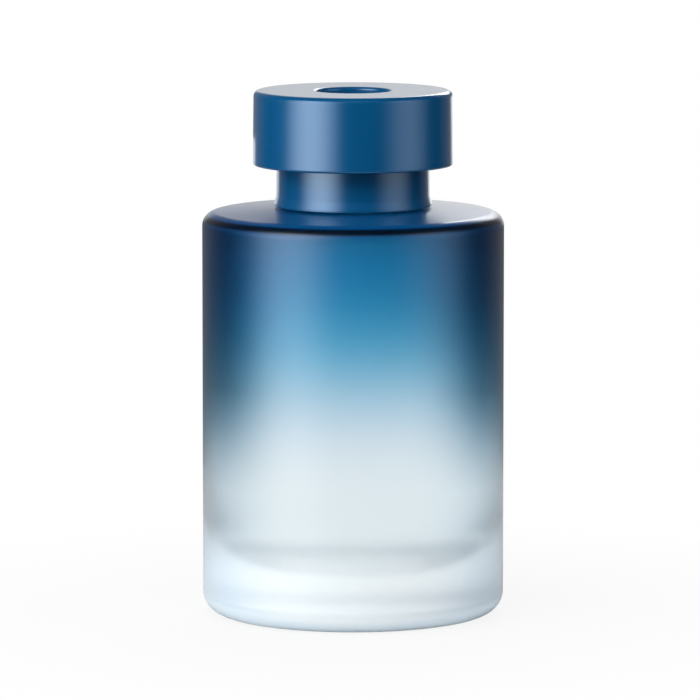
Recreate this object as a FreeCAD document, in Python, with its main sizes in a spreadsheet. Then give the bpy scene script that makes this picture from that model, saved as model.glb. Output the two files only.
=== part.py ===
# Splash bottle for aftershave: a heavy glass bottle with a screw-on closure that opens by twisting its head.
# Millimetres, +Z up, the bottle stands on z = 0 and everything is turned about the Z axis.
import FreeCAD
import Part
import Sketcher
import os

# Driving sizes. Each one can be changed by itself.
SIZES = {
    # Glass bottle
    "bottle_diameter": 58.0,
    "shoulder_height": 77.5,
    "shoulder_rise": 1.2,
    "shoulder_radius": 2.7,
    "heel_radius": 4.25,
    "side_wall": 4.0,
    "base_thickness": 9.0,
    "shoulder_wall": 4.0,
    "inner_heel_radius": 18.0,
    "inner_shoulder_radius": 5.0,
    "push_up_diameter": 40.0,
    "push_up_depth": 1.0,
    "push_up_slope": 3.0,
    "push_up_edge_radius": 2.0,
    # Neck finish and its screw thread
    "neck_root_diameter": 22.2,
    "neck_bore_diameter": 16.0,
    "neck_height": 8.6,
    "neck_fillet": 1.0,
    "bore_edge_radius": 1.5,
    "lip_radius": 0.6,
    "thread_pitch": 3.175,
    "thread_turns": 1.25,
    "thread_depth": 0.9,
    "thread_root_width": 1.8,
    "thread_crest_width": 0.8,
    "thread_start": 2.4,
    "thread_clearance": 0.3,
    "thread_sink": 0.3,
    # Seal under the closure
    "gasket_thickness": 1.0,
    "gasket_set_back": 0.2,
    "insert_flange": 1.0,
    "drop_in_clearance": 0.15,
    # Threaded closure base
    "skirt_wall": 1.5,
    "skirt_lift": 0.5,
    "deck_thickness": 1.5,
    "ring_wall": 1.2,
    "bead_rise": 1.7,
    "bead_reach": 0.45,
    "bead_height": 0.5,
    "bead_slope": 0.5,
    "bead_clearance": 0.35,
    "drag_groove_rise": 0.3,
    "drag_groove_depth": 0.65,
    "drag_groove_lip": 0.5,
    # Collar sleeve
    "collar_wall": 0.88,
    "collar_draft": 0.12,
    "collar_foot_reach": 0.35,
    "collar_foot_height": 0.5,
    "collar_foot_slope": 1.5,
    "collar_foot_radius": 0.2,
    "collar_gap": 0.1,
    "collar_set_down": 0.6,
    # Pouring valve
    "post_diameter": 3.0,
    "post_tip_diameter": 3.7,
    "post_tip_height": 1.4,
    "flow_hole_diameter": 2.8,
    "flow_circle_diameter": 7.0,
    "flow_holes": 4,
    "tower_bore_diameter": 6.0,
    "tower_wall": 1.3,
    "funnel_height": 1.2,
    "tower_o_ring_section": 0.8,
    "o_ring_groove_play": 0.1,
    "o_ring_groove_lip": 0.4,
    "seal_clearance": 0.1,
    "running_clearance": 0.2,
    "spout_wall": 1.1,
    "spout_roof": 1.0,
    "spout_recess": 0.5,
    "spout_edge_radius": 0.5,
    "guide_wall": 0.95,
    "guide_set_down": 0.4,
    # Twist cam
    "spout_lift": 3.8,
    "twist_angle": 120.0,
    "lug_diameter": 1.6,
    "groove_depth": 1.3,
    "groove_back": 1.05,
    "groove_web": 0.5,
    "lift_gap": 0.3,
    "hook_height": 0.8,
    "hook_slope": 0.4,
    "core_plate": 1.5,
    "inner_skirt_wall": 1.2,
    "skirt_space": 0.9,
    "outer_skirt_wall": 1.2,
    "weight_clearance": 0.3,
    # Head shell and the ring that closes it from below
    "collar_exposed": 8.0,
    "shell_wall": 1.2,
    "shell_top": 1.5,
    "shell_draft": 0.17,
    "shell_edge_radius": 1.1,
    "shell_foot_radius": 0.45,
    "well_edge_radius": 0.6,
    "well_step": 0.25,
    "well_lip_wall": 1.0,
    "well_lip_drop": 0.78,
    "well_lip_gap": 0.3,
    "under_ring_recess": 0.3,
    "under_ring_thickness": 1.5,
    "under_ring_upstand": 2.2,
    "head_gap": 0.4,
}

# Radii and heights that follow from the driving sizes, from the bottle up and from the inside out.
PLACES = {
    "bottle_radius": "Size.bottle_diameter / 2",
    "neck_seat": "Size.shoulder_height + Size.shoulder_rise",
    "neck_root_radius": "Size.neck_root_diameter / 2",
    "neck_bore_radius": "Size.neck_bore_diameter / 2",
    "lip": "neck_seat + Size.neck_height",
    "cavity_radius": "bottle_radius - Size.side_wall",
    "cavity_edge": "Size.shoulder_height - Size.shoulder_wall",
    "cavity_top": "neck_seat - Size.shoulder_wall",
    "thread_centre": "neck_seat + Size.thread_start",
    "thread_crest_radius": "neck_root_radius + Size.thread_depth",
    # Closure base, gasket and valve insert
    "skirt_bore": "thread_crest_radius + Size.thread_clearance",
    "skirt_outside": "skirt_bore + Size.skirt_wall",
    "skirt_foot": "neck_seat + Size.skirt_lift",
    "ridge_centre": "thread_centre - Size.thread_pitch / 4",
    "gasket_top": "lip + Size.gasket_thickness",
    "insert_top": "gasket_top + Size.insert_flange",
    "drop_in_radius": "skirt_bore - Size.drop_in_clearance",
    "deck_top": "insert_top + Size.deck_thickness",
    "funnel_radius": "(Size.flow_circle_diameter + Size.flow_hole_diameter) / 2 + Size.seal_clearance",
    "ring_bore": "skirt_outside - Size.ring_wall",
    "bead_foot": "deck_top + Size.bead_rise",
    "bead_radius": "skirt_outside + Size.bead_reach",
    "bead_top": "bead_foot + Size.bead_height + Size.bead_slope",
    # Pouring valve, from the post outwards
    "orifice_radius": "Size.post_tip_diameter / 2 + Size.seal_clearance",
    "tower_bore": "Size.tower_bore_diameter / 2",
    "tower_outside": "tower_bore + Size.tower_wall",
    "spout_bore": "tower_outside + Size.running_clearance",
    "spout_outside": "spout_bore + Size.spout_wall",
    "guide_bore": "spout_outside + Size.running_clearance",
    "guide_outside": "guide_bore + Size.guide_wall",
    "hub_bore": "guide_outside + Size.running_clearance",
    "groove_floor": "hub_bore + Size.groove_depth",
    "lug_tip": "groove_floor - Size.running_clearance",
    "hub_outside": "groove_floor + Size.groove_back",
    "well_radius": "hub_bore + Size.well_step",
    "well_lip_outside": "well_radius + Size.well_lip_wall",
    "plate_bore": "well_lip_outside + Size.running_clearance",
    # Cam groove: the lugs travel up a left-hand helix as the head turns
    "slot_half_width": "Size.lug_diameter / 2 + Size.running_clearance",
    "overrun_angle": "slot_half_width / hub_bore * 180 / pi",
    "groove_lead": "Size.spout_lift * 360 / Size.twist_angle",
    "overrun_rise": "groove_lead * overrun_angle / 360",
    "groove_turns": "(Size.twist_angle + 2 * overrun_angle) / 360",
    "hub_foot": "deck_top + Size.lift_gap",
    "groove_start": "hub_foot + Size.groove_web + slot_half_width",
    "lug_centre": "groove_start + overrun_rise",
    "groove_end": "lug_centre + Size.spout_lift + overrun_rise",
    "hub_top": "groove_end + slot_half_width + Size.groove_web",
    # Heights of the valve and head, from the hub up
    "well_lip_foot": "hub_top + Size.well_lip_gap",
    "plate_top": "well_lip_foot + Size.well_lip_drop",
    "plate_foot": "plate_top - Size.core_plate",
    "head_top": "plate_top + Size.shell_top",
    "guide_top": "hub_top - Size.guide_set_down",
    "spout_top": "well_lip_foot - Size.spout_recess",
    "spout_ceiling": "spout_top - Size.spout_roof",
    "tower_top": "spout_ceiling - Size.running_clearance",
    "o_ring_radius": "Size.tower_o_ring_section / 2",
    "o_ring_ring_radius": "spout_bore - Size.seal_clearance - o_ring_radius",
    "o_ring_groove_floor": "o_ring_ring_radius - o_ring_radius",
    "o_ring_groove_top": "tower_top - Size.o_ring_groove_lip",
    "o_ring_groove_foot": "o_ring_groove_top - Size.tower_o_ring_section - Size.o_ring_groove_play",
    "o_ring_height": "(o_ring_groove_top + o_ring_groove_foot) / 2",
    # Skirts of the head, from the bead outwards
    "inner_skirt_bore": "bead_radius + Size.bead_clearance",
    "inner_skirt_outside": "inner_skirt_bore + Size.inner_skirt_wall",
    "outer_skirt_bore": "inner_skirt_outside + Size.skirt_space",
    "shell_bore": "outer_skirt_bore + Size.outer_skirt_wall",
    "head_top_radius": "shell_bore + Size.shell_wall",
    "head_foot_radius": "head_top_radius + Size.shell_draft",
    "hook_bore": "skirt_outside + Size.running_clearance",
    "hook_top": "bead_foot - Size.running_clearance",
    "hook_foot": "hook_top - Size.hook_height",
    # Drag ring, held in a groove above the bead
    "drag_groove_floor": "skirt_outside - Size.drag_groove_depth",
    "drag_radius": "(inner_skirt_bore - Size.seal_clearance - drag_groove_floor) / 2",
    "drag_ring_radius": "drag_groove_floor + drag_radius",
    "drag_groove_foot": "bead_top + Size.drag_groove_rise",
    "drag_groove_top": "drag_groove_foot + 2 * drag_radius + Size.o_ring_groove_play",
    "drag_height": "(drag_groove_foot + drag_groove_top) / 2",
    "ring_top": "drag_groove_top + Size.drag_groove_lip",
    # Collar sleeve and the foot of the head
    "collar_radius": "skirt_outside + Size.collar_wall",
    "collar_root_radius": "collar_radius + Size.collar_draft",
    "collar_foot_radius": "collar_root_radius + Size.collar_foot_reach",
    "collar_foot": "neck_seat + Size.collar_gap",
    "collar_step": "collar_foot + Size.collar_foot_height",
    "collar_root": "collar_step + Size.collar_foot_slope",
    "collar_top": "deck_top - Size.collar_set_down",
    "head_foot": "neck_seat + Size.collar_exposed",
    "under_ring_bore": "collar_radius + Size.head_gap",
    "under_ring_foot": "head_foot + Size.under_ring_recess",
    "under_ring_seat": "under_ring_foot + Size.under_ring_thickness",
    "upstand_bore": "inner_skirt_outside + Size.seal_clearance",
    "upstand_top": "under_ring_seat + Size.under_ring_upstand",
}

# Sketcher's whole numbers for the points of a curve, for the two sketch axes, and for the origin where they meet.
START, END, CENTRE = range(1, 4)
ACROSS_AXIS, UP_AXIS = range(-1, -3, -1)
ORIGIN = ACROSS_AXIS

doc = FreeCAD.newDocument("splash_bottle")


def add_sheet(name, cells):
    """Fill a sheet with one named cell per row, as text."""
    sheet = doc.addObject("Spreadsheet::Sheet", name)
    for row, (alias, content) in enumerate(cells.items(), start=1):
        sheet.set(f"A{row}", alias)
        sheet.set(f"B{row}", content)
        sheet.setAlias(f"B{row}", alias)
    doc.recompute()
    return sheet


size_sheet = add_sheet("Size", {name: str(number) for name, number in SIZES.items()})
place_sheet = add_sheet("Place", {name: "=" + formula for name, formula in PLACES.items()})


def number(formula):
    """Present value of a formula that names cells of the two sheets."""
    return float(place_sheet.evalExpression(formula))


def add_body(label):
    """Empty body for one piece of the bottle."""
    body = doc.addObject("PartDesign::Body", label)
    body.Label = label
    return body


def origin_feature(body, role):
    """One of the body's own origin planes or axes."""
    return [feature for feature in body.Origin.OriginFeatures if feature.Role == role][0]


def add_sketch(body, name, plane="XZ_Plane", offset=None):
    """Sketch on one of the body's origin planes, moved along its normal by the offset formula."""
    sketch = body.newObject("Sketcher::SketchObject", name)
    sketch.AttachmentSupport = [(origin_feature(body, plane), "")]
    sketch.MapMode = "FlatFace"
    if offset:
        sketch.setExpression("AttachmentOffset.Base.z", offset)
    return sketch


def pin(sketch, direction, formula, curve, point):
    """Hold one point of the sketch at a formula's distance from the origin."""
    if formula == "0":
        axis = UP_AXIS if direction == "DistanceX" else ACROSS_AXIS
        sketch.addConstraint(Sketcher.Constraint("PointOnObject", curve, point, axis))
        return
    distance = Sketcher.Constraint(direction, ORIGIN, START, curve, point, number(formula))
    index = sketch.addConstraint(distance)
    sketch.setExpression(f"Constraints[{index}]", formula)


def outline(sketch, corners):
    """Closed outline of straight lines through corners given as (across, up) formulas."""
    points = [FreeCAD.Vector(number(across), number(up), 0) for across, up in corners]
    following = points[1:] + points[:1]
    for start, end in zip(points, following):
        sketch.addGeometry(Part.LineSegment(start, end), False)
    for line in range(len(corners)):
        next_line = (line + 1) % len(corners)
        sketch.addConstraint(Sketcher.Constraint("Coincident", line, END, next_line, START))
    for line, (across, up) in enumerate(corners):
        pin(sketch, "DistanceX", across, line, START)
        pin(sketch, "DistanceY", up, line, START)


def disc(sketch, across, up, diameter):
    """Circle in a sketch, its centre and diameter given as formulas."""
    centre = FreeCAD.Vector(number(across), number(up), 0)
    circle = Part.Circle(centre, FreeCAD.Vector(0, 0, 1), number(diameter) / 2)
    curve = sketch.addGeometry(circle, False)
    index = sketch.addConstraint(Sketcher.Constraint("Diameter", curve, number(diameter)))
    sketch.setExpression(f"Constraints[{index}]", diameter)
    pin(sketch, "DistanceX", across, curve, CENTRE)
    pin(sketch, "DistanceY", up, curve, CENTRE)


def turn(body, name, corners):
    """Solid of revolution about Z of an outline in radius and height."""
    sketch = add_sketch(body, name + "_profile")
    outline(sketch, corners)
    solid = body.newObject("PartDesign::Revolution", name)
    solid.Profile = (sketch, [""])
    solid.ReferenceAxis = (sketch, ["V_Axis"])
    solid.Angle = 360
    doc.recompute()


def round_rim(body, name, radius, rim_radius, rim_height):
    """Round the circular edge of the body that lies at a given radius and height."""
    base = body.Tip
    tolerance = Part.Precision.approximation()
    rims = []
    for index, edge in enumerate(base.Shape.Edges, start=1):
        circle = edge.Curve
        if not isinstance(circle, Part.Circle):
            continue
        same_radius = abs(circle.Radius - number(rim_radius)) < tolerance
        same_height = abs(circle.Center.z - number(rim_height)) < tolerance
        if same_radius and same_height:
            rims.append(f"Edge{index}")
    fillet = body.newObject("PartDesign::Fillet", name)
    fillet.Base = (base, rims)
    fillet.setExpression("Radius", radius)
    doc.recompute()


def wind(body, name, kind, sketch, pitch, turns, left_handed=False):
    """Sweep a sketch along a helix about Z, adding to the body or cutting it."""
    helix = body.newObject(kind, name)
    helix.Profile = (sketch, [""])
    helix.ReferenceAxis = (sketch, ["V_Axis"])
    helix.Mode = "pitch-turns-angle"
    helix.LeftHanded = left_handed
    helix.setExpression("Pitch", pitch)
    helix.setExpression("Turns", turns)
    doc.recompute()
    return helix


def repeat_round(body, name, feature, count):
    """Copies of a feature spaced evenly about Z."""
    pattern = body.newObject("PartDesign::PolarPattern", name)
    pattern.Originals = [feature]
    pattern.Axis = (origin_feature(body, "Z_Axis"), [""])
    pattern.Angle = 360
    pattern.setExpression("Occurrences", count)
    body.Tip = pattern
    doc.recompute()


def thread_outline(root_radius, crest_radius, centre):
    """Trapezium of a screw thread, from a root that is sunk into its wall to the crest."""
    root_half = "Size.thread_root_width / 2"
    crest_half = "Size.thread_crest_width / 2"
    return [
        (root_radius, f"{centre} - {root_half}"),
        (crest_radius, f"{centre} - {crest_half}"),
        (crest_radius, f"{centre} + {crest_half}"),
        (root_radius, f"{centre} + {root_half}"),
    ]


def glass_bottle():
    """Round bottle with a thick base, a shallow push-up under it and a threaded neck."""
    body = add_body("glass_bottle")
    turn(body, "glass_wall", [
        ("0", "Size.push_up_depth"),
        ("Size.push_up_diameter / 2 - Size.push_up_slope", "Size.push_up_depth"),
        ("Size.push_up_diameter / 2", "0"),
        ("Place.bottle_radius", "0"),
        ("Place.bottle_radius", "Size.shoulder_height"),
        ("Place.neck_root_radius", "Place.neck_seat"),
        ("Place.neck_root_radius", "Place.lip"),
        ("Place.neck_bore_radius", "Place.lip"),
        ("Place.neck_bore_radius", "Place.cavity_top"),
        ("Place.cavity_radius", "Place.cavity_edge"),
        ("Place.cavity_radius", "Size.base_thickness"),
        ("0", "Size.base_thickness"),
    ])
    round_rim(body, "heel", "Size.heel_radius", "Place.bottle_radius", "0")
    round_rim(body, "shoulder", "Size.shoulder_radius", "Place.bottle_radius", "Size.shoulder_height")
    round_rim(body, "push_up_edge", "Size.push_up_edge_radius", "Size.push_up_diameter / 2", "0")
    round_rim(body, "inner_heel", "Size.inner_heel_radius", "Place.cavity_radius", "Size.base_thickness")
    round_rim(body, "inner_shoulder", "Size.inner_shoulder_radius", "Place.cavity_radius", "Place.cavity_edge")
    round_rim(body, "bore_edge", "Size.bore_edge_radius", "Place.neck_bore_radius", "Place.cavity_top")
    round_rim(body, "neck_root", "Size.neck_fillet", "Place.neck_root_radius", "Place.neck_seat")
    round_rim(body, "lip_outside", "Size.lip_radius", "Place.neck_root_radius", "Place.lip")
    round_rim(body, "lip_inside", "Size.lip_radius", "Place.neck_bore_radius", "Place.lip")
    sketch = add_sketch(body, "thread_profile")
    sunk_root = "Place.neck_root_radius - Size.thread_sink"
    outline(sketch, thread_outline(sunk_root, "Place.thread_crest_radius", "Place.thread_centre"))
    wind(body, "thread", "PartDesign::AdditiveHelix", sketch, "Size.thread_pitch", "Size.thread_turns")
    return body


def neck_gasket():
    """Soft washer on the lip of the neck."""
    body = add_body("neck_gasket")
    bore = "Place.neck_bore_radius + Size.gasket_set_back"
    turn(body, "washer", [
        (bore, "Place.lip"),
        ("Place.drop_in_radius", "Place.lip"),
        ("Place.drop_in_radius", "Place.gasket_top"),
        (bore, "Place.gasket_top"),
    ])
    return body


def valve_insert():
    """Flow plate with a post whose tip plugs the spout while it is down."""
    body = add_body("valve_insert")
    tip = "Size.post_tip_diameter / 2"
    post = "Size.post_diameter / 2"
    slope = "Size.post_tip_diameter / 2 - Size.post_diameter / 2"
    tip_foot = "Place.spout_top - Size.post_tip_height"
    turn(body, "plate_and_post", [
        ("0", "Place.gasket_top"),
        ("Place.drop_in_radius", "Place.gasket_top"),
        ("Place.drop_in_radius", "Place.insert_top"),
        (post, "Place.insert_top"),
        (post, tip_foot),
        (tip, f"{tip_foot} + {slope}"),
        (tip, f"Place.spout_top - ({slope})"),
        (post, "Place.spout_top"),
        ("0", "Place.spout_top"),
    ])
    sketch = add_sketch(body, "flow_hole_profile", "XY_Plane", "Place.insert_top")
    disc(sketch, "Size.flow_circle_diameter / 2", "0", "Size.flow_hole_diameter")
    hole = body.newObject("PartDesign::Pocket", "flow_hole")
    hole.Profile = (sketch, [""])
    hole.Type = "ThroughAll"
    doc.recompute()
    repeat_round(body, "flow_hole_circle", hole, "Size.flow_holes")
    return body


def closure_base():
    """Threaded cap with the valve tower, the slotted spout guide and the wall that carries the head."""
    body = add_body("closure_base")
    turn(body, "cap_and_tower", [
        ("Place.skirt_bore", "Place.skirt_foot"),
        ("Place.skirt_outside", "Place.skirt_foot"),
        ("Place.skirt_outside", "Place.bead_foot"),
        ("Place.bead_radius", "Place.bead_foot"),
        ("Place.bead_radius", "Place.bead_foot + Size.bead_height"),
        ("Place.skirt_outside", "Place.bead_top"),
        ("Place.skirt_outside", "Place.drag_groove_foot"),
        ("Place.drag_groove_floor", "Place.drag_groove_foot"),
        ("Place.drag_groove_floor", "Place.drag_groove_top"),
        ("Place.skirt_outside", "Place.drag_groove_top"),
        ("Place.skirt_outside", "Place.ring_top"),
        ("Place.ring_bore", "Place.ring_top"),
        ("Place.ring_bore", "Place.deck_top"),
        ("Place.guide_outside", "Place.deck_top"),
        ("Place.guide_outside", "Place.guide_top"),
        ("Place.guide_bore", "Place.guide_top"),
        ("Place.guide_bore", "Place.deck_top"),
        ("Place.tower_outside", "Place.deck_top"),
        ("Place.tower_outside", "Place.o_ring_groove_foot"),
        ("Place.o_ring_groove_floor", "Place.o_ring_groove_foot"),
        ("Place.o_ring_groove_floor", "Place.o_ring_groove_top"),
        ("Place.tower_outside", "Place.o_ring_groove_top"),
        ("Place.tower_outside", "Place.tower_top"),
        ("Place.tower_bore", "Place.tower_top"),
        ("Place.tower_bore", "Place.insert_top + Size.funnel_height"),
        ("Place.funnel_radius", "Place.insert_top"),
        ("Place.skirt_bore", "Place.insert_top"),
    ])
    sketch = add_sketch(body, "ridge_profile", "YZ_Plane")
    sunk_root = "Place.skirt_bore + Size.thread_sink"
    crest = "Place.neck_root_radius + Size.thread_clearance"
    outline(sketch, thread_outline(sunk_root, crest, "Place.ridge_centre"))
    wind(body, "ridge", "PartDesign::AdditiveHelix", sketch, "Size.thread_pitch", "Size.thread_turns")
    sketch = add_sketch(body, "slot_profile", "YZ_Plane", "Place.hub_bore")
    slot_foot = "Place.lug_centre - Place.slot_half_width"
    outline(sketch, [
        ("-Place.slot_half_width", slot_foot),
        ("Place.slot_half_width", slot_foot),
        ("Place.slot_half_width", "Place.hub_top"),
        ("-Place.slot_half_width", "Place.hub_top"),
    ])
    slot = body.newObject("PartDesign::Pocket", "slot")
    slot.Profile = (sketch, [""])
    slot.setExpression("Length", "Place.hub_bore - Place.spout_outside")
    doc.recompute()
    repeat_round(body, "slot_pair", slot, "2")
    return body


def collar_sleeve():
    """Drawn metal sleeve over the closure's skirt, with a small turned-out foot."""
    body = add_body("collar_sleeve")
    turn(body, "sleeve", [
        ("Place.skirt_outside", "Place.collar_foot"),
        ("Place.collar_foot_radius", "Place.collar_foot"),
        ("Place.collar_foot_radius", "Place.collar_step"),
        ("Place.collar_root_radius", "Place.collar_root"),
        ("Place.collar_radius", "Place.collar_top"),
        ("Place.skirt_outside", "Place.collar_top"),
    ])
    round_rim(body, "foot_low", "Size.collar_foot_radius", "Place.collar_foot_radius", "Place.collar_foot")
    round_rim(body, "foot_high", "Size.collar_foot_radius", "Place.collar_foot_radius", "Place.collar_step")
    return body


def o_ring(label, ring_radius, section_radius, height):
    """Rubber ring lying level in a groove."""
    ring = doc.addObject("Part::Torus", label)
    ring.Label = label
    ring.setExpression("Radius1", ring_radius)
    ring.setExpression("Radius2", section_radius)
    ring.setExpression("Placement.Base.z", height)
    return ring


def spout():
    """Pouring nozzle that slides on the tower, with two lugs that ride in the head's cam grooves."""
    body = add_body("spout")
    turn(body, "nozzle", [
        ("Place.spout_bore", "Place.hub_foot"),
        ("Place.spout_outside", "Place.hub_foot"),
        ("Place.spout_outside", "Place.spout_top"),
        ("Place.orifice_radius", "Place.spout_top"),
        ("Place.orifice_radius", "Place.spout_ceiling"),
        ("Place.spout_bore", "Place.spout_ceiling"),
    ])
    round_rim(body, "nozzle_edge", "Size.spout_edge_radius", "Place.spout_outside", "Place.spout_top")
    lug_root = "Place.spout_bore + Size.spout_wall / 2"
    sketch = add_sketch(body, "lug_profile", "YZ_Plane", lug_root)
    disc(sketch, "0", "Place.lug_centre", "Size.lug_diameter")
    lug = body.newObject("PartDesign::Pad", "lug")
    lug.Profile = (sketch, [""])
    lug.setExpression("Length", f"Place.lug_tip - ({lug_root})")
    doc.recompute()
    repeat_round(body, "lug_pair", lug, "2")
    return body


def twist_core():
    """Inner frame of the head: the cam hub, the plate under the top, the hooks and the outer skirt."""
    body = add_body("twist_core")
    turn(body, "frame", [
        ("Place.hub_bore", "Place.hub_foot"),
        ("Place.hub_outside", "Place.hub_foot"),
        ("Place.hub_outside", "Place.plate_foot"),
        ("Place.inner_skirt_bore", "Place.plate_foot"),
        ("Place.inner_skirt_bore", "Place.hook_top"),
        ("Place.hook_bore", "Place.hook_top"),
        ("Place.hook_bore", "Place.hook_foot + Size.hook_slope"),
        ("Place.inner_skirt_bore", "Place.hook_foot"),
        ("Place.inner_skirt_outside", "Place.hook_foot"),
        ("Place.inner_skirt_outside", "Place.plate_foot"),
        ("Place.outer_skirt_bore", "Place.plate_foot"),
        ("Place.outer_skirt_bore", "Place.under_ring_seat"),
        ("Place.shell_bore", "Place.under_ring_seat"),
        ("Place.shell_bore", "Place.plate_top"),
        ("Place.plate_bore", "Place.plate_top"),
        ("Place.plate_bore", "Place.hub_top"),
        ("Place.hub_bore", "Place.hub_top"),
    ])
    sketch = add_sketch(body, "groove_profile")
    turned_to_start = FreeCAD.Rotation(FreeCAD.Vector(0, 1, 0), number("Place.overrun_angle"))
    sketch.AttachmentOffset = FreeCAD.Placement(FreeCAD.Vector(0, 0, 0), turned_to_start)
    sketch.setExpression("AttachmentOffset.Rotation.Angle", "Place.overrun_angle * 1 deg")
    outline(sketch, [
        ("Place.guide_outside", "Place.groove_start - Place.slot_half_width"),
        ("Place.groove_floor", "Place.groove_start - Place.slot_half_width"),
        ("Place.groove_floor", "Place.groove_start + Place.slot_half_width"),
        ("Place.guide_outside", "Place.groove_start + Place.slot_half_width"),
    ])
    kind = "PartDesign::SubtractiveHelix"
    groove = wind(body, "groove", kind, sketch, "Place.groove_lead", "Place.groove_turns", left_handed=True)
    repeat_round(body, "groove_pair", groove, "2")
    return body


def head_weight():
    """Metal ring pressed on the hub, which gives the head its heft."""
    body = add_body("head_weight")
    weight_outside = "Place.ring_bore - Size.weight_clearance"
    weight_foot = "Place.deck_top + Size.weight_clearance"
    turn(body, "ring", [
        ("Place.hub_outside", weight_foot),
        (weight_outside, weight_foot),
        (weight_outside, "Place.plate_foot"),
        ("Place.hub_outside", "Place.plate_foot"),
    ])
    return body


def under_ring():
    """Ring pressed into the head from below, which closes it around the collar."""
    body = add_body("under_ring")
    turn(body, "ring", [
        ("Place.under_ring_bore", "Place.under_ring_foot"),
        ("Place.shell_bore", "Place.under_ring_foot"),
        ("Place.shell_bore", "Place.under_ring_seat"),
        ("Place.outer_skirt_bore", "Place.under_ring_seat"),
        ("Place.outer_skirt_bore", "Place.upstand_top"),
        ("Place.upstand_bore", "Place.upstand_top"),
        ("Place.upstand_bore", "Place.under_ring_seat"),
        ("Place.under_ring_bore", "Place.under_ring_seat"),
    ])
    return body


def head_shell():
    """Outer metal cover of the head, with the open pouring well in its top."""
    body = add_body("head_shell")
    turn(body, "cover", [
        ("Place.shell_bore", "Place.head_foot"),
        ("Place.head_foot_radius", "Place.head_foot"),
        ("Place.head_top_radius", "Place.head_top"),
        ("Place.well_radius", "Place.head_top"),
        ("Place.well_radius", "Place.well_lip_foot"),
        ("Place.well_lip_outside", "Place.well_lip_foot"),
        ("Place.well_lip_outside", "Place.plate_top"),
        ("Place.shell_bore", "Place.plate_top"),
    ])
    round_rim(body, "top_edge", "Size.shell_edge_radius", "Place.head_top_radius", "Place.head_top")
    round_rim(body, "foot_edge", "Size.shell_foot_radius", "Place.head_foot_radius", "Place.head_foot")
    round_rim(body, "well_edge", "Size.well_edge_radius", "Place.well_radius", "Place.head_top")
    return body


pieces = [
    glass_bottle(),
    neck_gasket(),
    valve_insert(),
    closure_base(),
    collar_sleeve(),
    o_ring("tower_o_ring", "Place.o_ring_ring_radius", "Place.o_ring_radius", "Place.o_ring_height"),
    o_ring("drag_o_ring", "Place.drag_ring_radius", "Place.drag_radius", "Place.drag_height"),
    spout(),
    twist_core(),
    head_weight(),
    under_ring(),
    head_shell(),
]
doc.recompute()

for thing in doc.Objects:
    if "Invalid" in thing.State or "Error" in thing.State:
        raise RuntimeError(f"{thing.Label} did not compute: {thing.State}")

os.makedirs("parts", exist_ok=True)
for piece in pieces:
    if piece.Shape.isNull() or not piece.Shape.isValid():
        raise RuntimeError(f"{piece.Label} has no valid shape")
    piece.Shape.exportStep(f"parts/{piece.Label}.step")
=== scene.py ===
import bmesh
import bpy
import math
import numpy as np
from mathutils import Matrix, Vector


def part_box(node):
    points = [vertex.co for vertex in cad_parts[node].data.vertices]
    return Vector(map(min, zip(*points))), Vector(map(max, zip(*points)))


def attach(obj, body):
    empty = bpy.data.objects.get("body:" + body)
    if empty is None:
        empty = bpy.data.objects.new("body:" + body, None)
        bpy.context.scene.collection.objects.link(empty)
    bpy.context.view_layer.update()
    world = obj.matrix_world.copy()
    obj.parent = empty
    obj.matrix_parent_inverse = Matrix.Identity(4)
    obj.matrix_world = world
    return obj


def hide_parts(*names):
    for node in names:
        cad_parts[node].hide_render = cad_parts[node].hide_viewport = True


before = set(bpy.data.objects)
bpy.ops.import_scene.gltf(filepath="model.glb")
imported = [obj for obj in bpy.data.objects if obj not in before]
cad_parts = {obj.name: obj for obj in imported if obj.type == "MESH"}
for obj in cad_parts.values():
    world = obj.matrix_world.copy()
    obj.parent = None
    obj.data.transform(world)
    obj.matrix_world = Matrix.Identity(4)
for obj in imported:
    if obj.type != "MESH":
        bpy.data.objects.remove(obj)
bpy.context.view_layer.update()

# Glass bottle: soda-lime glass pressed and blown in a mould, with a heavy base and a screw neck.
# The outside is etched to a satin skin and sprayed with a clear blue lacquer that fades out downwards.
# The neck is masked meanwhile and stays clear. The bottle stands on a flat ring round its push-up.
MM = 0.001
glass_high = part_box("glass_bottle")[1]
glass_radius = glass_high.x
lip_height = glass_high.z
neck_radius = 11.1 * MM
neck_bore = 8.0 * MM
neck_fillet = 1.0 * MM
neck_length = 8.6 * MM
neck_seat = lip_height - neck_length
shoulder_rise = 1.2 * MM
shoulder_height = neck_seat - shoulder_rise
shoulder_rounding = 2.7 * MM
glass_wall = 4.0 * MM
cavity_radius = glass_radius - glass_wall
cavity_floor = 9.0 * MM
bowl_rounding = 18.0 * MM
inner_shoulder_rounding = 5.0 * MM
push_up_radius = 20.0 * MM
push_up_depth = 1.0 * MM
push_up_slope = 3.0 * MM
push_up_rounding = 2.0 * MM
heel_rounding = 4.25 * MM
lip_rounding = 0.6 * MM
bore_rounding = 1.5 * MM


def straight_run(start, end, row_gap):
    """Rows strictly between two points, crowded towards both by the cosine of an evenly spaced angle."""
    count = max(4, int(np.linalg.norm(end - start) / row_gap))
    share = (1 - np.cos(np.pi * np.arange(1, count) / count)) / 2
    return start + share[:, None] * (end - start)


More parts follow.
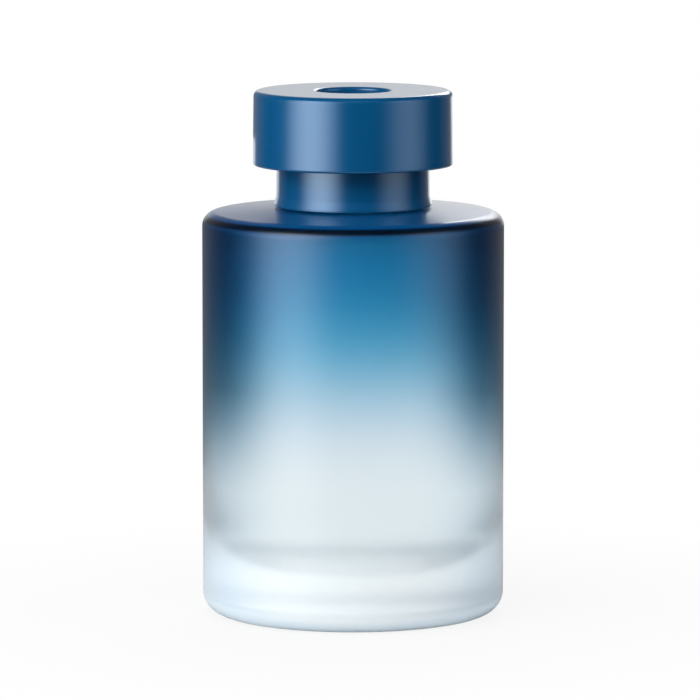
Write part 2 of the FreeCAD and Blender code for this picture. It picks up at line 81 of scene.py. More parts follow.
def rounded_outline(corners, row_gap):
    """Rows of an outline in radius and height.

    Each corner (radius, height, rounding) gives way to the arc of that rounding which touches both
    its sides. The straight runs between arcs get rows about row_gap apart, crowded towards the ends so
    that smooth shading doesn't creep from an arc into a flat.
    """
    places = np.array([corner[:2] for corner in corners])
    steps = np.diff(places, axis=0)
    steps /= np.linalg.norm(steps, axis=1)[:, None]
    rows = [places[:1]]
    for (radius, height, rounding), arriving, leaving in zip(corners[1:-1], steps[:-1], steps[1:]):
        turned = math.atan2(arriving[0] * leaving[1] - arriving[1] * leaving[0], arriving @ leaving)
        side = np.array([-arriving[1], arriving[0]]) * np.sign(turned)
        start = np.array([radius, height]) - arriving * rounding * math.tan(abs(turned) / 2)
        swept = np.linspace(0, abs(turned), max(12, int(rounding * abs(turned) / row_gap)))[:, None]
        arc = start + side * rounding + rounding * (arriving * np.sin(swept) - side * np.cos(swept))
        rows += [straight_run(rows[-1][-1], arc[0], row_gap), arc]
    rows.append(straight_run(rows[-1][-1], places[-1], row_gap))
    rows.append(places[-1:])
    return np.concatenate(rows)


def turned_mesh(name, radius, height, around, closed=False):
    """Surface of revolution about Z: point (row, column) is (radius cos a, radius sin a, height).

    Angle a goes round by column. radius and height hold one value per row, or one per row and column.
    An outline that is closed joins its last row to its first. The quads run row by row, each row from
    angle 0 round.
    """
    angle = np.linspace(0, 2 * np.pi, around, endpoint=False)
    radius = np.broadcast_to(np.reshape(radius, (len(radius), -1)), (len(radius), around))
    height = np.broadcast_to(np.reshape(height, (len(height), -1)), radius.shape)
    points = np.stack([radius * np.cos(angle), radius * np.sin(angle), height], axis=-1).reshape(-1, 3)
    index = np.arange(len(points)).reshape(radius.shape)
    lower = index if closed else index[:-1]
    upper = np.roll(index, -1, axis=0) if closed else index[1:]
    quads = np.stack([lower, np.roll(lower, -1, 1), np.roll(upper, -1, 1), upper], axis=-1).reshape(-1, 4)
    mesh = bpy.data.meshes.new(name)
    mesh.from_pydata(points.tolist(), [], quads.tolist())
    mesh.shade_smooth()
    piece = bpy.data.objects.new(name, mesh)
    bpy.context.scene.collection.objects.link(piece)
    return piece


touching = 0.0001 * MM


def weld_poles(piece):
    """Merge the vertices that fall together where an outline meets the axis."""
    work = bmesh.new()
    work.from_mesh(piece.data)
    bmesh.ops.remove_doubles(work, verts=work.verts, dist=touching)
    bmesh.ops.dissolve_degenerate(work, edges=work.edges, dist=touching)
    work.to_mesh(piece.data)
    work.free()


def thread_ridge(angle, height):
    """How far the screw thread stands out of the neck at an angle and a height.

    The ridge's middle climbs one pitch per turn. Its section is a trapezium, and it runs out to nothing
    over the first and last part of its length, as a moulded glass thread does.
    """
    pitch = 3.175 * MM
    turns = 1.25
    depth = 0.9 * MM
    root_half = 0.9 * MM
    crest_half = 0.4 * MM
    start_rise = 2.4 * MM
    run_out = 0.09
    ridge = np.zeros(np.broadcast(angle, height).shape)
    for whole_turns in range(math.ceil(turns)):
        travelled = angle / (2 * np.pi) + whole_turns
        off_middle = np.abs(height - (neck_seat + start_rise) - pitch * travelled)
        section = np.clip((root_half - off_middle) / (root_half - crest_half), 0, 1)
        ends = np.clip(travelled / run_out, 0, 1) * np.clip((turns - travelled) / run_out, 0, 1)
        ridge = np.maximum(ridge, depth * section * ends)
    return ridge


glass_corners = [
    (0.0, push_up_depth, 0.0),
    (push_up_radius - push_up_slope, push_up_depth, push_up_rounding),
    (push_up_radius, 0.0, push_up_rounding),
    (glass_radius, 0.0, heel_rounding),
    (glass_radius, shoulder_height, shoulder_rounding),
    (neck_radius, neck_seat, neck_fillet),
    (neck_radius, lip_height, lip_rounding),
    (neck_bore, lip_height, lip_rounding),
    (neck_bore, neck_seat - glass_wall, bore_rounding),
    (cavity_radius, shoulder_height - glass_wall, inner_shoulder_rounding),
    (cavity_radius, cavity_floor, bowl_rounding),
    (0.0, cavity_floor, 0.0),
]
outline_gap = 0.6 * MM
glass_rows = rounded_outline(glass_corners, outline_gap)
glass_columns = 192
column_angle = np.linspace(0, 2 * np.pi, glass_columns, endpoint=False)[None, :]
row_radius = glass_rows[:, :1]
row_height = glass_rows[:, 1:]
same_radius = 0.001 * MM
on_neck = (np.abs(row_radius - neck_radius) < same_radius) & (row_height > neck_seat)
glass_surface = row_radius + np.where(on_neck, thread_ridge(column_angle, row_height), 0.0)
glass = turned_mesh("glass_bottle_satin", glass_surface, row_height, glass_columns)

# The rows run up the etched skin, over the masked neck and down the inside: three finishes, 0 to 2.
first_masked_row = int(np.argmax(row_height > neck_seat + neck_fillet))
first_inside_row = first_masked_row + int(np.argmax(row_height[first_masked_row:] < neck_seat))
quad_rows = np.repeat(np.arange(len(glass_rows) - 1), glass_columns)
finish_of_quad = np.searchsorted([first_masked_row, first_inside_row], quad_rows, side="right")
for finish in range(3):
    glass.data.materials.append(None)
glass.data.polygons.foreach_set("material_index", finish_of_quad.astype(np.int32))
weld_poles(glass)


def linear(hex_colour):
    """Linear RGBA of an sRGB hex colour."""
    channels = np.array([int(hex_colour[place:place + 2], 16) for place in (1, 3, 5)]) / 255
    curved = np.where(channels <= 0.04045, channels / 12.92, ((channels + 0.055) / 1.055) ** 2.4)
    return (*curved.tolist(), 1.0)


def node(tree, kind, settings=None, **inputs):
    """Add a node, set its properties, and link or set its inputs by name or by number as in _0, _1."""
    made = tree.nodes.new(kind)
    for name, value in (settings or {}).items():
        setattr(made, name, value)
    for name, value in inputs.items():
        socket = made.inputs[int(name[1:])] if name[0] == "_" else made.inputs[name.replace("_", " ")]
        if isinstance(value, bpy.types.NodeSocket):
            tree.links.new(value, socket)
        else:
            socket.default_value = value
    return made


def new_material(name):
    """Empty node material, its node tree, and the Object coordinates that its patterns read."""
    material = bpy.data.materials.new(name)
    material.use_nodes = True
    tree = material.node_tree
    tree.nodes.clear()
    place = node(tree, "ShaderNodeTexCoord").outputs["Object"]
    return material, tree, place


# Soda-lime glass with an etched satin skin under a dyed lacquer: a soft gloss over a cloudy blue that
# clears downwards. The dye filters light: of each colour it passes its share to the power of the coat's
# thickness, which grows up the bottle and gathers at the shoulder. Where the coat is thick, the sides are
# darkened as the skin turns edge on: mostly painted shade for the dim room at the sides, and a little for
# the coat's longer path seen edge on. A dark band along the shoulder's edge is painted shade, for the dark
# line that the thick glass shows at its rounded rim. The thickest coat and the heavy base are the
# cloudiest. The etched grain is about 0.03 mm and is drawn ten times as coarse so that it shows.
lacquer_colour = linear("#116A9A")
glass_tint = linear("#EEF6F9")
# Edge on, the clear tint turns darker and bluer: painted shade.
glass_edge_shade_tint = linear("#DAEBF8")
fade_foot = 20.0 * MM
fade_head = 76.7 * MM
fade_powers = (1.85, 1.5, 1.63)
# Painted shade at the sides: how much of each colour is kept edge on, and over which facing and coat it
# deepens.
edge_shade_shares = (0.04, 0.097, 0.134)
edge_shade_facing = (0.05, 0.52)
edge_shade_coat = (0.03, 0.42)
deepest_edge_shade = 0.9
shoulder_top_band = 0.6 * MM
gathered_coat = 1.5
# Painted shade: a dark band along the shoulder's edge, with its place in the section, its core, its reach
# and the share of light it passes.
rim_shade_inset = 0.63 * MM
rim_shade_drop = 0.96 * MM
rim_shade_place = (glass_radius - rim_shade_inset, shoulder_height - rim_shade_drop, 0.0)
rim_shade_core = 0.35 * MM
rim_shade_reach = 1.05 * MM
rim_shade_share = 0.06
cloudy_coat = (0.35, 0.98)
coat_clearness = 0.3
cloudy_base = (3.5 * MM, 24.0 * MM)
base_clearness = 0.4
etched_grain = 0.3 * MM
etched_roughness = (0.28, 0.33)
glass_satin, tree, place = new_material("etched_glass_faded_blue_lacquer")
height = node(tree, "ShaderNodeSeparateXYZ", _0=place).outputs["Z"]
coat = node(
    tree, "ShaderNodeMapRange", {"interpolation_type": "SMOOTHSTEP"},
    Value=height, From_Min=fade_foot, From_Max=fade_head,
).outputs[0]
facing = node(tree, "ShaderNodeLayerWeight", Blend=0.5).outputs["Facing"]
edge_on = node(
    tree, "ShaderNodeMapRange", {"interpolation_type": "SMOOTHSTEP"},
    Value=facing, From_Min=edge_shade_facing[0], From_Max=edge_shade_facing[1],
).outputs[0]
on_wall = node(
    tree, "ShaderNodeMapRange", {"interpolation_type": "SMOOTHSTEP"},
    Value=height,
    From_Min=shoulder_height - shoulder_rounding, From_Max=shoulder_height - shoulder_top_band,
    To_Min=1.0, To_Max=0.0,
).outputs[0]
# Painted shade at the sides: deepest edge on where the coat is thick, and none on the shoulder.
edge_shade_depth = node(
    tree, "ShaderNodeMapRange",
    Value=coat, From_Min=edge_shade_coat[0], From_Max=edge_shade_coat[1], To_Max=deepest_edge_shade,
).outputs[0]
edge_shade_depth = node(tree, "ShaderNodeMath", {"operation": "MULTIPLY"}, _0=edge_shade_depth, _1=edge_on).outputs[0]
edge_shade_depth = node(tree, "ShaderNodeMath", {"operation": "MULTIPLY"}, _0=edge_shade_depth, _1=on_wall).outputs[0]
gathered = node(tree, "ShaderNodeMapRange", Value=on_wall, To_Min=gathered_coat, To_Max=1.0).outputs[0]
passed = []
for channel, fade_power, edge_shade_share in zip(lacquer_colour, fade_powers, edge_shade_shares):
    thickness = node(tree, "ShaderNodeMath", {"operation": "POWER"}, _0=coat, _1=fade_power).outputs[0]
    thickness = node(
        tree, "ShaderNodeMath", {"operation": "MULTIPLY"}, _0=thickness, _1=gathered,
    ).outputs[0]
    dyed = node(tree, "ShaderNodeMath", {"operation": "POWER"}, _0=channel, _1=thickness).outputs[0]
    edge_shaded = node(tree, "ShaderNodeMath", {"operation": "POWER"}, _0=edge_shade_share, _1=edge_shade_depth).outputs[0]
    passed.append(node(tree, "ShaderNodeMath", {"operation": "MULTIPLY"}, _0=dyed, _1=edge_shaded).outputs[0])
tint = node(tree, "ShaderNodeCombineXYZ", _0=passed[0], _1=passed[1], _2=passed[2]).outputs[0]
# The clear tint is mixed towards its darker edge-on tint: painted shade.
clear_tint = node(
    tree, "ShaderNodeMix", {"data_type": "RGBA"}, _0=edge_on, _6=glass_tint, _7=glass_edge_shade_tint,
).outputs[2]
tint = node(tree, "ShaderNodeVectorMath", {"operation": "MULTIPLY"}, _0=tint, _1=clear_tint).outputs[0]
off_axis = node(tree, "ShaderNodeVectorMath", {"operation": "MULTIPLY"}, _0=place, _1=(1, 1, 0)).outputs[0]
reach = node(tree, "ShaderNodeVectorMath", {"operation": "LENGTH"}, _0=off_axis).outputs["Value"]
section_place = node(tree, "ShaderNodeCombineXYZ", _0=reach, _1=height).outputs[0]
# Painted shade along the shoulder's edge, by the distance in the section from the band's middle.
rim_shade_distance = node(
    tree, "ShaderNodeVectorMath", {"operation": "DISTANCE"}, _0=section_place, _1=rim_shade_place,
).outputs["Value"]
rim_shade_pass = node(
    tree, "ShaderNodeMapRange", {"interpolation_type": "SMOOTHSTEP"},
    Value=rim_shade_distance, From_Min=rim_shade_core, From_Max=rim_shade_reach, To_Min=rim_shade_share, To_Max=1.0,
).outputs[0]
tint = node(tree, "ShaderNodeVectorMath", {"operation": "SCALE"}, _0=tint, Scale=rim_shade_pass).outputs[0]
clearness = node(
    tree, "ShaderNodeMapRange", {"interpolation_type": "SMOOTHSTEP"},
    Value=coat, From_Min=cloudy_coat[0], From_Max=cloudy_coat[1], To_Min=1.0, To_Max=coat_clearness,
).outputs[0]
above_base = node(
    tree, "ShaderNodeMapRange", {"interpolation_type": "SMOOTHSTEP"},
    Value=height, From_Min=cloudy_base[0], From_Max=cloudy_base[1], To_Min=base_clearness, To_Max=1.0,
).outputs[0]
clearness = node(
    tree, "ShaderNodeMath", {"operation": "MULTIPLY"}, _0=clearness, _1=above_base,
).outputs[0]
from_inside = node(tree, "ShaderNodeNewGeometry").outputs["Backfacing"]
clearness = node(
    tree, "ShaderNodeMath", {"operation": "MAXIMUM"}, _0=clearness, _1=from_inside,
).outputs[0]
grain = node(tree, "ShaderNodeTexNoise", Vector=place, Scale=1 / etched_grain, Detail=2.0).outputs[0]
roughness = node(
    tree, "ShaderNodeMapRange", Value=grain, To_Min=etched_roughness[0], To_Max=etched_roughness[1],
).outputs[0]
shader = node(
    tree, "ShaderNodeBsdfPrincipled",
    Base_Color=tint, Roughness=roughness, IOR=1.5, Transmission_Weight=clearness,
    Coat_Weight=0.4, Coat_Roughness=0.25,
).outputs[0]
node(tree, "ShaderNodeOutputMaterial", Surface=shader)
glass.data.materials[0] = glass_satin

# Clear soda-lime glass of the masked neck and of the inside. Blown glass is fire polished, with long
# faint waves about 9 mm apart. The inside is duller, and a film on it lets light pass with little
# bending, so that its lines look soft.
glass_wave = 9.0 * MM
wave_depth = 0.05 * MM
clear_finishes = (
    ("fire_polished_neck_glass", 0.06, 0.1, 1.5),
    ("dulled_inside_glass", 0.28, 0.34, 1.12),
)
for finish, (name, smoothest, dullest, refraction) in enumerate(clear_finishes, start=1):
    glass_clear, tree, place = new_material(name)
    waves = node(tree, "ShaderNodeTexNoise", Vector=place, Scale=1 / glass_wave, Detail=1.0).outputs[0]
    bump = node(tree, "ShaderNodeBump", Strength=0.2, Distance=wave_depth, Height=waves).outputs[0]
    polish = node(tree, "ShaderNodeMapRange", Value=waves, To_Min=smoothest, To_Max=dullest).outputs[0]
    shader = node(
        tree, "ShaderNodeBsdfPrincipled",
        Base_Color=linear("#F6FBFC"), Roughness=polish, IOR=refraction, Transmission_Weight=1.0,
        Normal=bump,
    ).outputs[0]
    node(tree, "ShaderNodeOutputMaterial", Surface=shader)
    glass.data.materials[finish] = glass_clear
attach(glass, "bottle")
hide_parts("glass_bottle")


# Neck gasket: a soft washer punched from polyethylene foam sheet.
# It lies on the lip of the neck and stays in the closure when that is unscrewed.
def finish_node(name, material):
    """Give a carried-over solid its material."""
    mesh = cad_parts[name].data
    mesh.materials.clear()
    mesh.materials.append(material)


# Closed-cell polyethylene foam: off-white and dull, with cells about 0.3 mm across cut open by the punch.
foam_cell = 0.3 * MM
cell_depth = 0.1 * MM
foam, tree, place = new_material("polyethylene_foam")
cells = node(tree, "ShaderNodeTexVoronoi", Vector=place, Scale=1 / foam_cell).outputs["Distance"]
shade = node(
    tree, "ShaderNodeMix", {"data_type": "RGBA"}, _0=cells, _6=linear("#EFECE3"), _7=linear("#CFCBBE"),
).outputs[2]
bump = node(
    tree, "ShaderNodeBump", {"invert": True}, Strength=0.5, Distance=cell_depth, Height=cells,
).outputs[0]
shader = node(tree, "ShaderNodeBsdfPrincipled", Base_Color=shade, Roughness=0.85, Normal=bump).outputs[0]
node(tree, "ShaderNodeOutputMaterial", Surface=shader)
finish_node("neck_gasket", foam)

# Valve insert: the flow plate with its four holes and the post that plugs the nozzle.
# It is moulded in one piece and trapped between the gasket and the closure's deck.
# Natural polyethylene: milky and waxy, with faint flow clouds about 4 mm long from the moulding.
flow_cloud = 4.0 * MM
natural, tree, place = new_material("natural_polyethylene")
clouds = node(tree, "ShaderNodeTexNoise", Vector=place, Scale=1 / flow_cloud, Detail=3.0).outputs[0]
shade = node(
    tree, "ShaderNodeMix", {"data_type": "RGBA"}, _0=clouds, _6=linear("#E9EBE6"), _7=linear("#D9DCD6"),
).outputs[2]
waxy = node(tree, "ShaderNodeMapRange", Value=clouds, To_Min=0.32, To_Max=0.46).outputs[0]
shader = node(tree, "ShaderNodeBsdfPrincipled", Base_Color=shade, Roughness=waxy).outputs[0]
node(tree, "ShaderNodeOutputMaterial", Surface=shader)
finish_node("valve_insert", natural)

# Closure base: the threaded cap with the valve tower, the slotted guide and the wall that carries the
# head. It is moulded in blue polypropylene and hidden by the collar and the head.
# Polypropylene from a spark-eroded mould: satin, with a grain of about 0.25 mm and paler flow clouds.
mould_grain = 0.25 * MM
mould_grain_depth = 0.02 * MM
plastic, tree, place = new_material("moulded_blue_polypropylene")
clouds = node(tree, "ShaderNodeTexNoise", Vector=place, Scale=1 / flow_cloud, Detail=2.0).outputs[0]
shade = node(
    tree, "ShaderNodeMix", {"data_type": "RGBA"}, _0=clouds, _6=linear("#0A3C66"), _7=linear("#0D4673"),
).outputs[2]
grain = node(tree, "ShaderNodeTexNoise", Vector=place, Scale=1 / mould_grain, Detail=1.0).outputs[0]
satin = node(tree, "ShaderNodeMapRange", Value=grain, To_Min=0.38, To_Max=0.5).outputs[0]
bump = node(
    tree, "ShaderNodeBump", Strength=0.15, Distance=mould_grain_depth, Height=grain,
).outputs[0]
shader = node(tree, "ShaderNodeBsdfPrincipled", Base_Color=shade, Roughness=satin, Normal=bump).outputs[0]
node(tree, "ShaderNodeOutputMaterial", Surface=shader)
finish_node("closure_base", plastic)

# Collar sleeve: drawn from aluminium sheet, sprayed blue, and pressed over the closure's skirt.
# Its lower edge flares out a little to a rounded foot just above the glass.
collar_low, collar_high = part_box("collar_sleeve")
collar_inside = 13.8 * MM
collar_wall = 0.88 * MM
collar_taper = 0.12 * MM
collar_top_radius = collar_inside + collar_wall
collar_root_radius = collar_top_radius + collar_taper
collar_foot_radius = collar_high.x
collar_foot_height = 0.5 * MM
collar_foot_rounding = 0.2 * MM
collar_flare = 1.5 * MM
collar_flare_rounding = 1.5 * MM
collar_top_rounding = 0.1 * MM
collar_inner_rounding = 0.05 * MM
collar_middle = (collar_low.z + collar_high.z) / 2
closing_gap = 0.5 * MM
collar_corners = [
    (collar_inside, collar_middle, 0.0),
    (collar_inside, collar_low.z, collar_inner_rounding),
    (collar_foot_radius, collar_low.z, collar_foot_rounding),
    (collar_foot_radius, collar_low.z + collar_foot_height, collar_foot_rounding),
    (collar_root_radius, collar_low.z + collar_foot_height + collar_flare, collar_flare_rounding),
    (collar_top_radius, collar_high.z, collar_top_rounding),
    (collar_inside, collar_high.z, collar_inner_rounding),
    (collar_inside, collar_middle + closing_gap, 0.0),
]
collar_rows = rounded_outline(collar_corners, outline_gap)
collar_columns = 160
collar = turned_mesh(
    "collar_sleeve_lacquered", collar_rows[:, 0], collar_rows[:, 1], collar_columns, closed=True,
)

# Aluminium under a blue satin lacquer: soft broad highlights with a blue cast, from a little of the
# metal. A sprayed coat has a faint orange peel about 1.2 mm across and a fine matting grain, drawn
# 0.3 mm coarse so that it shows.
orange_peel = 1.2 * MM
peel_depth = 0.02 * MM
matting_grain = 0.3 * MM
lacquered, tree, place = new_material("satin_lacquered_aluminium")
peel = node(tree, "ShaderNodeTexNoise", Vector=place, Scale=1 / orange_peel, Detail=1.0).outputs[0]
matting = node(tree, "ShaderNodeTexNoise", Vector=place, Scale=1 / matting_grain, Detail=1.0).outputs[0]
shade = node(
    tree, "ShaderNodeMix", {"data_type": "RGBA"}, _0=matting, _6=linear("#034E7E"), _7=linear("#045383"),
).outputs[2]
satin = node(tree, "ShaderNodeMapRange", Value=matting, To_Min=0.2, To_Max=0.26).outputs[0]
bump = node(tree, "ShaderNodeBump", Strength=0.04, Distance=peel_depth, Height=peel).outputs[0]
shader = node(
    tree, "ShaderNodeBsdfPrincipled",
    Base_Color=shade, Metallic=0.15, Roughness=satin,
    Specular_IOR_Level=1.0, Specular_Tint=linear("#C4E0F5"),
    Coat_Weight=1.0, Coat_Roughness=0.18, Normal=bump,
).outputs[0]
node(tree, "ShaderNodeOutputMaterial", Surface=shader)
collar.data.materials.append(lacquered)
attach(collar, "closure")
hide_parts("collar_sleeve")

# O-rings: one seals the nozzle on the tower, and the other drags on the head so that it stays where it
# is put. Both are moulded and stretched into their grooves.
# Nitrile rubber: near black and matt, with a pale bloom in patches about 1.5 mm wide.
bloom_patch = 1.5 * MM
rubber, tree, place = new_material("nitrile_rubber")
bloom = node(tree, "ShaderNodeTexNoise", Vector=place, Scale=1 / bloom_patch, Detail=4.0).outputs[0]
shade = node(
    tree, "ShaderNodeMix", {"data_type": "RGBA"}, _0=bloom, _6=linear("#141516"), _7=linear("#242628"),
).outputs[2]
matt = node(tree, "ShaderNodeMapRange", Value=bloom, To_Min=0.5, To_Max=0.72).outputs[0]
shader = node(tree, "ShaderNodeBsdfPrincipled", Base_Color=shade, Roughness=matt).outputs[0]
node(tree, "ShaderNodeOutputMaterial", Surface=shader)
finish_node("tower_o_ring", rubber)
finish_node("drag_o_ring", rubber)

# Spout: the nozzle that rises out of the well, moulded in the same blue polypropylene as the closure.
# It slides on the tower, and two lugs on its side ride in the cam grooves of the head.
finish_node("spout", plastic)

# Twist core: the inner frame of the head, with the two cam grooves and the hooks that snap under the
# closure's bead. It is moulded in blue polypropylene and glued into the shell.
finish_node("twist_core", plastic)

# Head weight: a metal ring pressed on the hub for heft.
# Turned zinc alloy: pale grey, with fine tool rings about 0.3 mm apart.
tool_ring = 0.3 * MM
wave_period = 0.314
zinc, tree, place = new_material("turned_zinc_alloy")
rings = node(
    tree, "ShaderNodeTexWave", {"wave_type": "RINGS", "rings_direction": "Z"},
    Vector=place, Scale=wave_period / tool_ring, Distortion=0.5,
).outputs[0]
shade = node(
    tree, "ShaderNodeMix", {"data_type": "RGBA"}, _0=rings, _6=linear("#A6A8AB"), _7=linear("#BBBDBF"),
).outputs[2]
turned_finish = node(tree, "ShaderNodeMapRange", Value=rings, To_Min=0.3, To_Max=0.42).outputs[0]
shader = node(
    tree, "ShaderNodeBsdfPrincipled", Base_Color=shade, Metallic=1.0, Roughness=turned_finish,
).outputs[0]
node(tree, "ShaderNodeOutputMaterial", Surface=shader)
finish_node("head_weight", zinc)

# Under ring: closes the head from below round the collar, pressed in after the head is on.
# It is moulded in the same blue polypropylene.
finish_node("under_ring", plastic)

# Head shell: the drawn aluminium cover of the head, in the same satin lacquer as the collar.
# Its rounded top is pierced, and the edge is turned down into the pouring well.
shell_low, shell_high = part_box("head_shell")
shell_inside = 17.9 * MM
shell_foot_radius = shell_high.x
shell_taper = 0.17 * MM
shell_top_radius = shell_foot_radius - shell_taper
shell_foot_rounding = 0.45 * MM
shell_top_rounding = 1.1 * MM
well_radius = 7.2 * MM
well_rounding = 0.6 * MM
well_lip_outside = 8.2 * MM
well_lip_depth = 2.28 * MM
well_lip_foot = shell_high.z - well_lip_depth
shell_crown = 1.5 * MM
shell_ceiling = shell_high.z - shell_crown
shell_inner_rounding = 0.1 * MM
shell_middle = (shell_low.z + shell_ceiling) / 2
shell_corners = [
    (shell_inside, shell_middle, 0.0),
    (shell_inside, shell_low.z, shell_inner_rounding),
    (shell_foot_radius, shell_low.z, shell_foot_rounding),
    (shell_top_radius, shell_high.z, shell_top_rounding),
    (well_radius, shell_high.z, well_rounding),
    (well_radius, well_lip_foot, shell_inner_rounding),
    (well_lip_outside, well_lip_foot, shell_inner_rounding),
    (well_lip_outside, shell_ceiling, shell_inner_rounding),
    (shell_inside, shell_ceiling, shell_inner_rounding),
    (shell_inside, shell_middle + closing_gap, 0.0),
]
shell_rows = rounded_outline(shell_corners, outline_gap)
shell_columns = 192
shell = turned_mesh(
    "head_shell_lacquered", shell_rows[:, 0], shell_rows[:, 1], shell_columns, closed=True,
)
shell.data.materials.append(lacquered)
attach(shell, "twist_head")
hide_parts("head_shell")

# Studio table: a small round white top, set a hair below the bottle.
# The camera and the glass see it white, and near the bottle the camera sees a little of its shadow.
table_radius = 0.2
table_drop = 0.2 * MM
table_columns = 96
shadow_near = 0.03
shadow_far = 0.12
white_by_bottle = 0.88
table_rows = np.linspace(table_radius, 0.0, 9)
table = turned_mesh("table", table_rows, np.full(table_rows.shape, -table_drop), table_columns)
weld_poles(table)
table_white, tree, place = new_material("white_table_top")
reach = node(tree, "ShaderNodeVectorMath", {"operation": "LENGTH"}, _0=place).outputs["Value"]
white_share = node(
    tree, "ShaderNodeMapRange",
    Value=reach, From_Min=shadow_near, From_Max=shadow_far, To_Min=white_by_bottle, To_Max=1.0,
).outputs[0]
light_path = node(tree, "ShaderNodeLightPath")
seen = node(
    tree, "ShaderNodeMath", {"operation": "MULTIPLY"},
    _0=light_path.outputs["Is Camera Ray"], _1=white_share,
).outputs[0]
seen = node(
    tree, "ShaderNodeMath", {"operation": "MAXIMUM"},
    _0=seen, _1=light_path.outputs["Is Transmission Ray"],
).outputs[0]
paper = node(tree, "ShaderNodeBsdfDiffuse", Color=linear("#CFCFCF")).outputs[0]
glow = node(tree, "ShaderNodeEmission", Strength=1.0).outputs[0]
mixed = node(tree, "ShaderNodeMixShader", _0=seen, _1=paper, _2=glow).outputs[0]
node(tree, "ShaderNodeOutputMaterial", Surface=mixed)
table.data.materials.append(table_white)

# Studio room: white to the camera and through the glass. In the gloss it is pale behind the bottle and
# dark towards the camera, as a studio is.
dark_until = 0.4
back_wall_level = 0.22
inside_glass_level = 0.45
ambient_level = 0.1
world = bpy.data.worlds.new("studio")
bpy.context.scene.world = world
world.use_nodes = True
tree = world.node_tree
tree.nodes.clear()
light_path = node(tree, "ShaderNodeLightPath")
direction = node(tree, "ShaderNodeTexCoord").outputs["Generated"]
behind = node(tree, "ShaderNodeSeparateXYZ", _0=direction).outputs["Y"]
mirrored = node(
    tree, "ShaderNodeMapRange", Value=behind, From_Min=dark_until, From_Max=1.0, To_Max=back_wall_level,
).outputs[0]
in_glass = node(
    tree, "ShaderNodeMapRange",
    Value=light_path.outputs["Transmission Depth"], To_Min=mirrored, To_Max=inside_glass_level,
).outputs[0]
unseen = node(
    tree, "ShaderNodeMapRange",
    Value=light_path.outputs["Is Glossy Ray"], To_Min=ambient_level, To_Max=in_glass,
).outputs[0]
seen = node(
    tree, "ShaderNodeMath", {"operation": "MAXIMUM"},
    _0=light_path.outputs["Is Camera Ray"], _1=light_path.outputs["Is Transmission Ray"],
).outputs[0]
strength = node(tree, "ShaderNodeMapRange", Value=seen, To_Min=unseen, To_Max=1.0).outputs[0]
background = node(tree, "ShaderNodeBackground", Color=(1, 1, 1, 1), Strength=strength).outputs[0]
node(tree, "ShaderNodeOutputWorld", Surface=background)


def softbox(name, azimuth, elevation, distance, width, tall, centre_height, radiance, soft_sides=False):
    """Area lamp facing the bottle's axis at a height.

    Azimuth 0 is the camera's side, and it grows to the right. With soft sides the lamp is brightest along
    its middle and falls off to both sides as the square of a sine.
    """
    lamp = bpy.data.lights.new(name, "AREA")
    lamp.shape = "RECTANGLE"
    lamp.size = width
    lamp.size_y = tall
    lamp.energy = radiance * math.pi * width * tall
    if soft_sides:
        lamp.use_nodes = True
        tree = lamp.node_tree
        tree.nodes.clear()
        across = node(tree, "ShaderNodeNewGeometry").outputs["Parametric"]
        across = node(tree, "ShaderNodeSeparateXYZ", _0=across).outputs["X"]
        half_turn = node(
            tree, "ShaderNodeMath", {"operation": "MULTIPLY"}, _0=across, _1=math.pi,
        ).outputs[0]
        swell = node(tree, "ShaderNodeMath", {"operation": "SINE"}, _0=half_turn).outputs[0]
        swell = node(tree, "ShaderNodeMath", {"operation": "MULTIPLY"}, _0=swell, _1=swell).outputs[0]
        glow = node(tree, "ShaderNodeEmission", Strength=swell).outputs[0]
        node(tree, "ShaderNodeOutputLight", Surface=glow)
    box = bpy.data.objects.new(name, lamp)
    turn = math.radians(azimuth)
    lift = math.radians(elevation)
    box.location = (
        distance * math.cos(lift) * math.sin(turn),
        -distance * math.cos(lift) * math.cos(turn),
        centre_height + distance * math.sin(lift),
    )
    box.rotation_euler = (math.pi / 2 - lift, 0, turn)
    box.visible_camera = False
    bpy.context.scene.collection.objects.link(box)
    return box


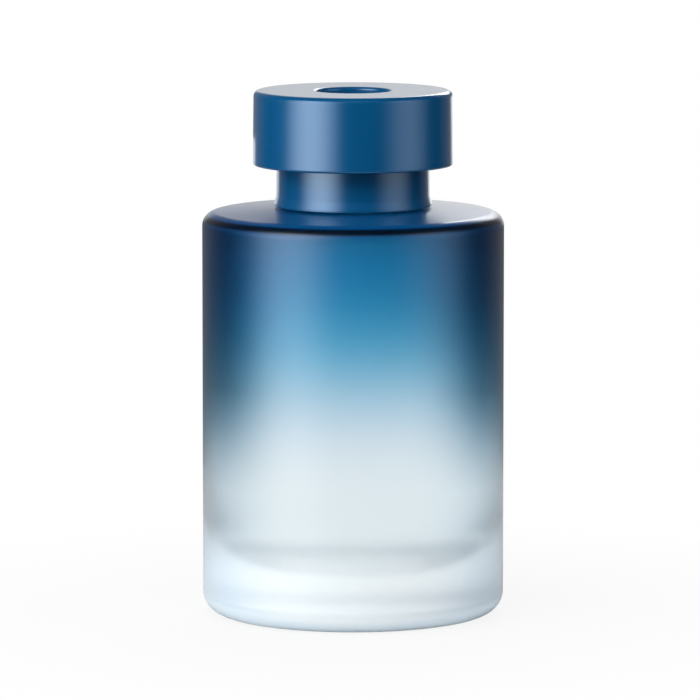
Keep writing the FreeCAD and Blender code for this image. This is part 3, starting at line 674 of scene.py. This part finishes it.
# Lamps seen in the gloss: two tall softboxes give the highlights of the wall, the collar and the head,
# and small panels behind the bottle give the pale tops of the head and the shoulder.
for mirrored_lamp in (
    softbox(
        "left_softbox", azimuth=-49, elevation=0, distance=0.8,
        width=1.34, tall=0.82, centre_height=0.34, radiance=3.15, soft_sides=True,
    ),
    softbox(
        "right_softbox", azimuth=65, elevation=0, distance=0.8,
        width=1.16, tall=0.82, centre_height=0.34, radiance=0.78, soft_sides=True,
    ),
    softbox(
        "back_panel", azimuth=180, elevation=0, distance=0.1,
        width=0.07, tall=0.1, centre_height=0.152, radiance=0.51,
    ),
    softbox(
        "low_panel", azimuth=163, elevation=0, distance=0.1,
        width=0.06, tall=0.03, centre_height=0.0835, radiance=1.03,
    ),
    softbox(
        "low_left_panel", azimuth=-155, elevation=0, distance=0.055,
        width=0.04, tall=0.012, centre_height=0.0815, radiance=0.75,
    ),
    softbox(
        "rim_strip", azimuth=166, elevation=21, distance=0.8,
        width=0.26, tall=0.2, centre_height=0.08, radiance=4.0,
    ),
):
    mirrored_lamp.visible_transmission = False

# Fill lamps: they light the dyed and painted surfaces evenly from above and from the sides, and are
# seen neither in the gloss nor through the glass.
for fill in (
    softbox(
        "top_panel", azimuth=-10, elevation=45, distance=0.9,
        width=0.9, tall=0.5, centre_height=0.08, radiance=4.0,
    ),
    softbox(
        "left_fill", azimuth=-85, elevation=15, distance=0.8,
        width=0.6, tall=0.6, centre_height=0.08, radiance=2.8,
    ),
    softbox(
        "right_fill", azimuth=80, elevation=15, distance=0.8,
        width=0.6, tall=0.6, centre_height=0.08, radiance=1.3,
    ),
    softbox(
        "back_fill", azimuth=180, elevation=25, distance=0.8,
        width=0.6, tall=0.6, centre_height=0.08, radiance=2.6,
    ),
):
    fill.visible_glossy = False
    fill.visible_transmission = False

# Camera: a long lens that looks down a little on the middle of the bottle.
camera_distance = 1.2
camera_height = 0.203
camera_side = -0.0006
aim_height = 0.0508
camera_data = bpy.data.cameras.new("camera")
camera = bpy.data.objects.new("camera", camera_data)
bpy.context.scene.collection.objects.link(camera)
camera_data.lens = 323.0
camera_data.clip_end = 20
camera.location = (camera_side, -camera_distance, camera_height)
look_down = math.atan((camera_height - aim_height) / camera_distance)
camera.rotation_euler = (math.pi / 2 - look_down, 0, 0)
bpy.context.scene.camera = camera
bpy.context.scene.view_settings.view_transform = "Standard"
